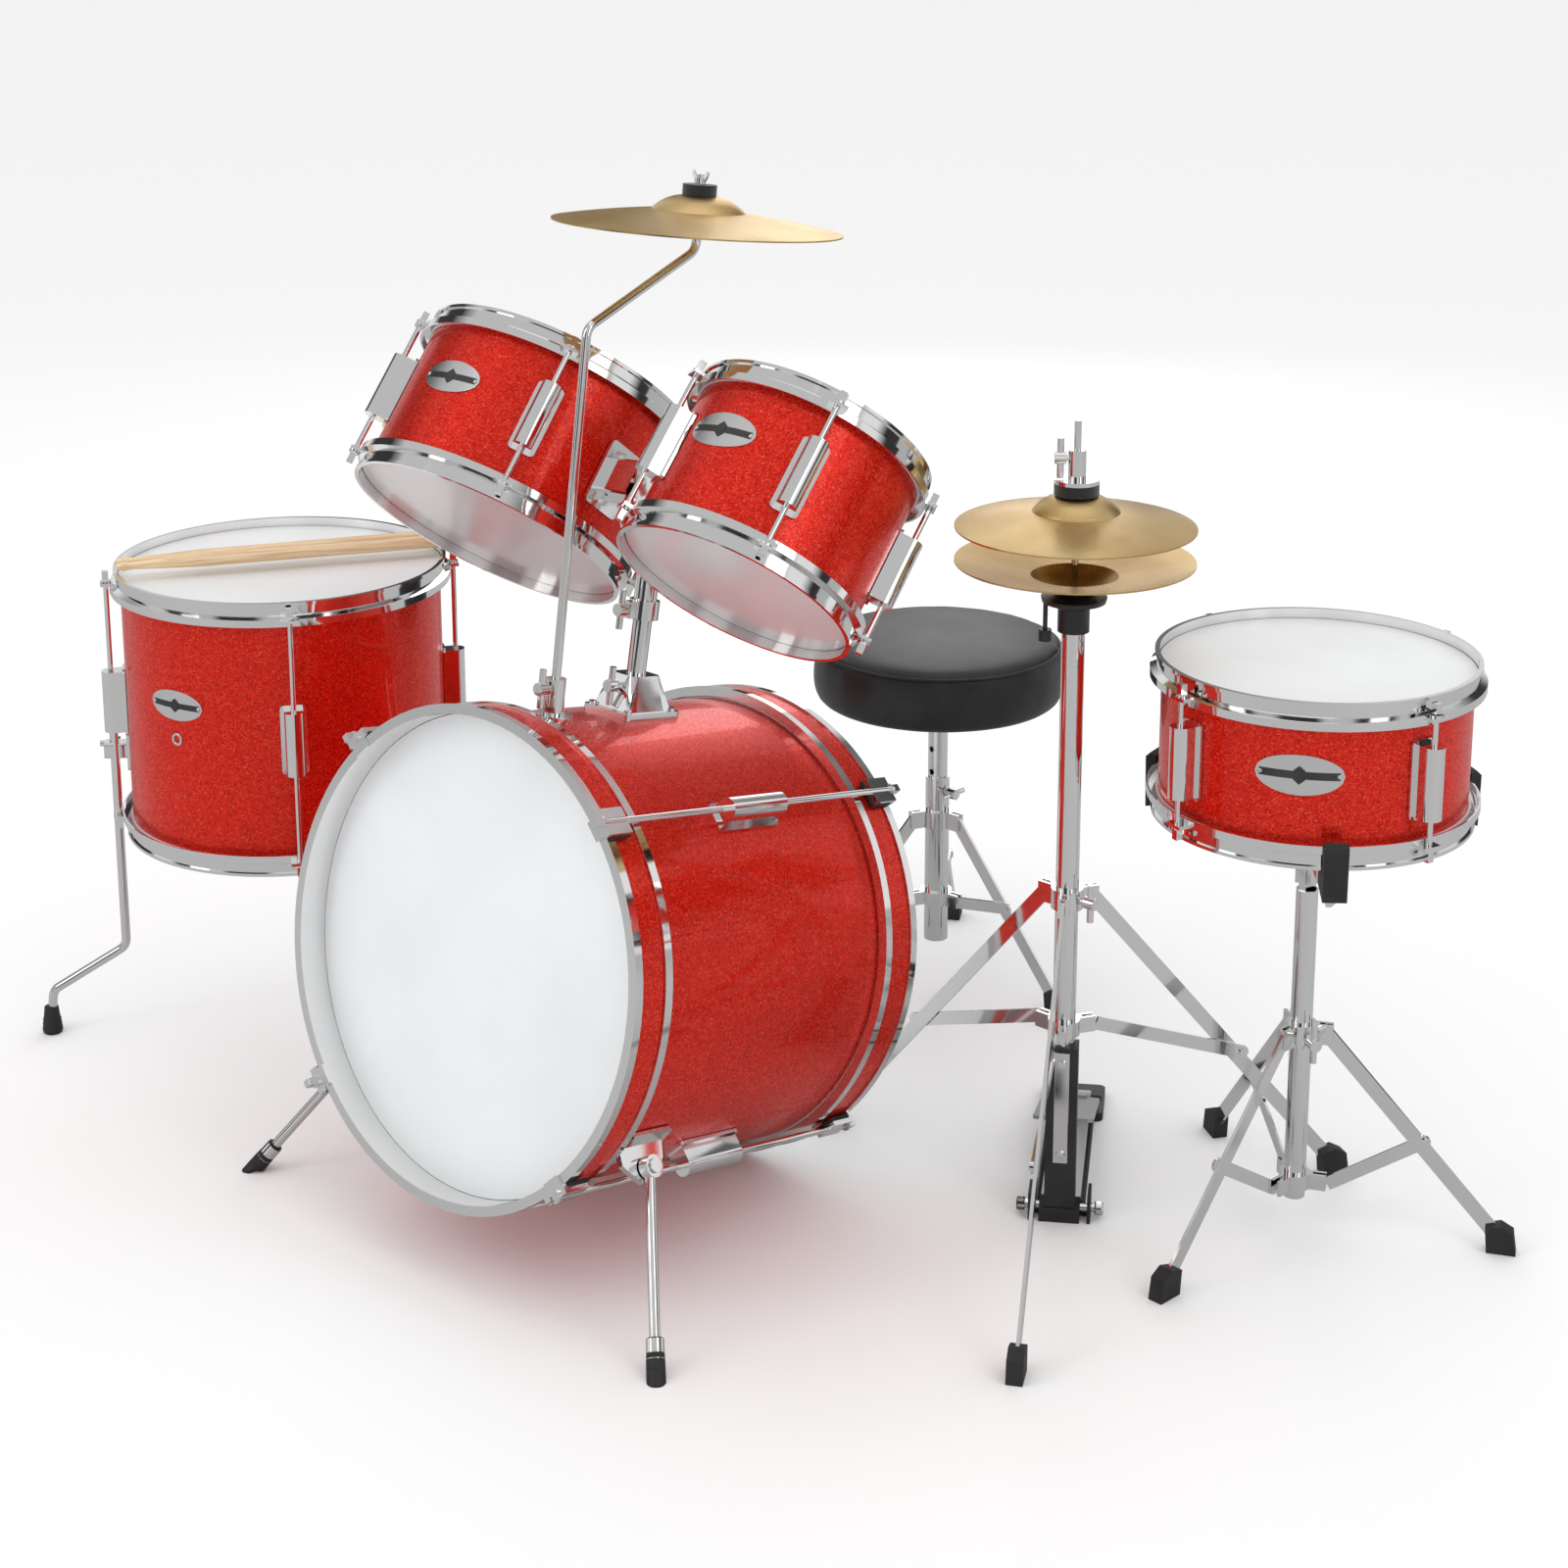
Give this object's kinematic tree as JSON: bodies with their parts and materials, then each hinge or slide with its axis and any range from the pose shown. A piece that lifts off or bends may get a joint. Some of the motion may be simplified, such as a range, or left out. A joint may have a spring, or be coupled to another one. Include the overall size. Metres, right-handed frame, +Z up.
{
  "type": "acoustic drum kit",
  "caption": "Junior acoustic drum kit: bass drum carrying tilted toms and a crash cymbal, floor tom, snare on a stand, pedal hi-hat and a padded round throne.",
  "frame": {"origin": "on the floor, under the centre of the kit's bounding box", "axes": "+Z up; +Y from the bass drum's front head towards the drummer; +X to the audience's right, so the snare and hi-hat are on +X and the floor tom on -X"},
  "size_m": [1.3339, 0.9271, 0.9108],
  "materials": {
    "sparkle_wrap": "red sparkle wrap over a wooden shell",
    "drum_head": "coated white film",
    "chrome": "polished plate",
    "cymbal_brass": "lathed brass",
    "felt": "black felt",
    "rubber": "moulded black rubber",
    "black_plastic": "moulded black plastic",
    "black_steel": "black powder coat",
    "cast_aluminium": "cast, grooved",
    "vinyl": "black vinyl",
    "maple": "clear lacquer",
    "wire": "coiled steel wire"
  },
  "bodies": {
    "kit": {"bass_shell": "sparkle_wrap", "bass_heads": "drum_head", "bass_hoops": "chrome", "bass_hoop_inlays": "sparkle_wrap", "bass_lugs": "chrome", "bass_tension_rods": "chrome", "spur_brackets": "chrome", "tom_mount_base": "chrome", "tom_mount_tube": "chrome", "cymbal_socket": "chrome", "floor_tom_shell": "sparkle_wrap", "floor_tom_heads": "drum_head", "floor_tom_hoops": "chrome", "floor_tom_lugs": "chrome", "floor_tom_leg_brackets": "chrome", "snare_stand": "chrome", "hihat_stand": "chrome", "hihat_frame": "black_steel", "hihat_seat": "black_plastic", "hihat_bottom_cymbal": "cymbal_brass", "throne_stand": "chrome", "stand_feet": "rubber"},
    "spur_left": {"spur_leg_left": "chrome"},
    "spur_right": {"spur_leg_right": "chrome"},
    "tom_holder": {"tom_post": "chrome"},
    "tom_left": {"tom_left_shell": "sparkle_wrap", "tom_left_heads": "drum_head", "tom_left_hoops": "chrome", "tom_left_lugs": "chrome", "tom_left_arm": "chrome"},
    "tom_right": {"tom_right_shell": "sparkle_wrap", "tom_right_heads": "drum_head", "tom_right_hoops": "chrome", "tom_right_lugs": "chrome", "tom_right_arm": "chrome"},
    "crash_arm": {"cymbal_arm": "chrome"},
    "crash_pad": {"crash_felts": "felt"},
    "crash": {"crash_cymbal": "cymbal_brass"},
    "floor_tom_leg_1": {"floor_tom_leg_1": "chrome"},
    "floor_tom_leg_2": {"floor_tom_leg_2": "chrome"},
    "floor_tom_leg_3": {"floor_tom_leg_3": "chrome"},
    "snare_riser": {"snare_post": "chrome"},
    "snare": {"snare_basket": "chrome", "basket_grips": "rubber", "snare_shell": "sparkle_wrap", "snare_heads": "drum_head", "snare_hoops": "chrome", "snare_lugs": "chrome", "snare_wires": "wire", "snare_strainer": "chrome"},
    "strainer_lever": {"strainer_lever": "chrome"},
    "pedal": {"footboard": "cast_aluminium"},
    "hihat_top": {"hihat_rod": "chrome", "hihat_felts": "felt", "hihat_top_cymbal": "cymbal_brass"},
    "throne_riser": {"throne_post": "chrome"},
    "throne_top": {"throne_seat_plate": "chrome", "throne_seat": "vinyl"},
    "drumsticks": {"drumsticks": "maple"}
  },
  "joints": [
    {"name": "spur_left_fold", "type": "hinge", "parent": "kit", "child": "spur_left", "pos_m": [-0.18549, -0.37073, 0.12846], "axis": [0.8649, -0.0941, -0.493], "range_deg": [0, 50]},
    {"name": "spur_right_fold", "type": "hinge", "parent": "kit", "child": "spur_right", "pos_m": [0.17549, -0.37073, 0.12846], "axis": [0.8649, 0.0941, 0.493], "range_deg": [0, 100]},
    {"name": "tom_post_slide", "type": "slide", "parent": "kit", "child": "tom_holder", "axis": [0, 0.1874, 0.9823], "range_m": [-0.03, 0.05]},
    {"name": "tom_left_tilt", "type": "hinge", "parent": "tom_holder", "child": "tom_left", "pos_m": [-0.005, -0.17235, 0.64006], "axis": [1, 0, 0], "range_deg": [-10, 40]},
    {"name": "tom_right_tilt", "type": "hinge", "parent": "tom_holder", "child": "tom_right", "pos_m": [-0.005, -0.17235, 0.64006], "axis": [1, 0, 0], "range_deg": [-10, 40]},
    {"name": "cymbal_arm_swivel", "type": "hinge", "parent": "kit", "child": "crash_arm", "pos_m": [-0.005, -0.30328, 0.46071], "axis": [0, 0.1445, 0.9895], "range_deg": [-90, 90]},
    {"name": "crash_sway", "type": "hinge", "parent": "crash_arm", "child": "crash_pad", "pos_m": [-0.005, -0.11918, 0.88786], "axis": [1, 0, 0], "range_deg": [-6, 6], "stiffness_Nm_per_rad": 0.8},
    {"name": "crash_spin", "type": "hinge", "parent": "crash_pad", "child": "crash", "pos_m": [-0.005, -0.1219, 0.862], "axis": [0, 0.1044, 0.9945], "continuous": true},
    {"name": "floor_tom_leg_1_slide", "type": "slide", "parent": "kit", "child": "floor_tom_leg_1", "axis": [0, 0, 1], "range_m": [0, 0.06]},
    {"name": "floor_tom_leg_2_slide", "type": "slide", "parent": "kit", "child": "floor_tom_leg_2", "axis": [0, 0, 1], "range_m": [0, 0.06]},
    {"name": "floor_tom_leg_3_slide", "type": "slide", "parent": "kit", "child": "floor_tom_leg_3", "axis": [0, 0, 1], "range_m": [0, 0.06]},
    {"name": "snare_post_slide", "type": "slide", "parent": "kit", "child": "snare_riser", "axis": [0, 0, 1], "range_m": [0, 0.04]},
    {"name": "snare_tilt", "type": "hinge", "parent": "snare_riser", "child": "snare", "pos_m": [0.492, 0.1111, 0.33], "axis": [1, 0, 0], "range_deg": [-10, 10]},
    {"name": "strainer_throw", "type": "hinge", "parent": "snare", "child": "strainer_lever", "pos_m": [0.42252, 0.24178, 0.4645], "axis": [0.8829, 0.4695, 0], "range_deg": [0, 70]},
    {"name": "pedal_press", "type": "hinge", "parent": "kit", "child": "pedal", "pos_m": [0.22196, 0.14576, 0.02], "axis": [0.829, 0.5592, 0], "range_deg": [0, 7.5], "stiffness_Nm_per_rad": 6, "springref_deg": -25.78},
    {"name": "hihat_pull", "type": "slide", "parent": "kit", "child": "hihat_top", "axis": [0, 0, -1], "range_m": [0, 0.024]},
    {"name": "throne_post_slide", "type": "slide", "parent": "kit", "child": "throne_riser", "axis": [0, 0, 1], "range_m": [-0.03, 0.1]},
    {"name": "throne_seat_spin", "type": "hinge", "parent": "throne_riser", "child": "throne_top", "pos_m": [-0.086, 0.3131, 0.3], "axis": [0, 0, 1], "continuous": true},
    {"name": "drumsticks_lift", "type": "slide", "parent": "kit", "child": "drumsticks", "axis": [0, 0, 1], "range_m": [0, 0.3]}
  ],
  "couplings": [
    {"joint": "hihat_pull", "follows": "pedal_press", "m_per_rad": 0.18}
  ]
}
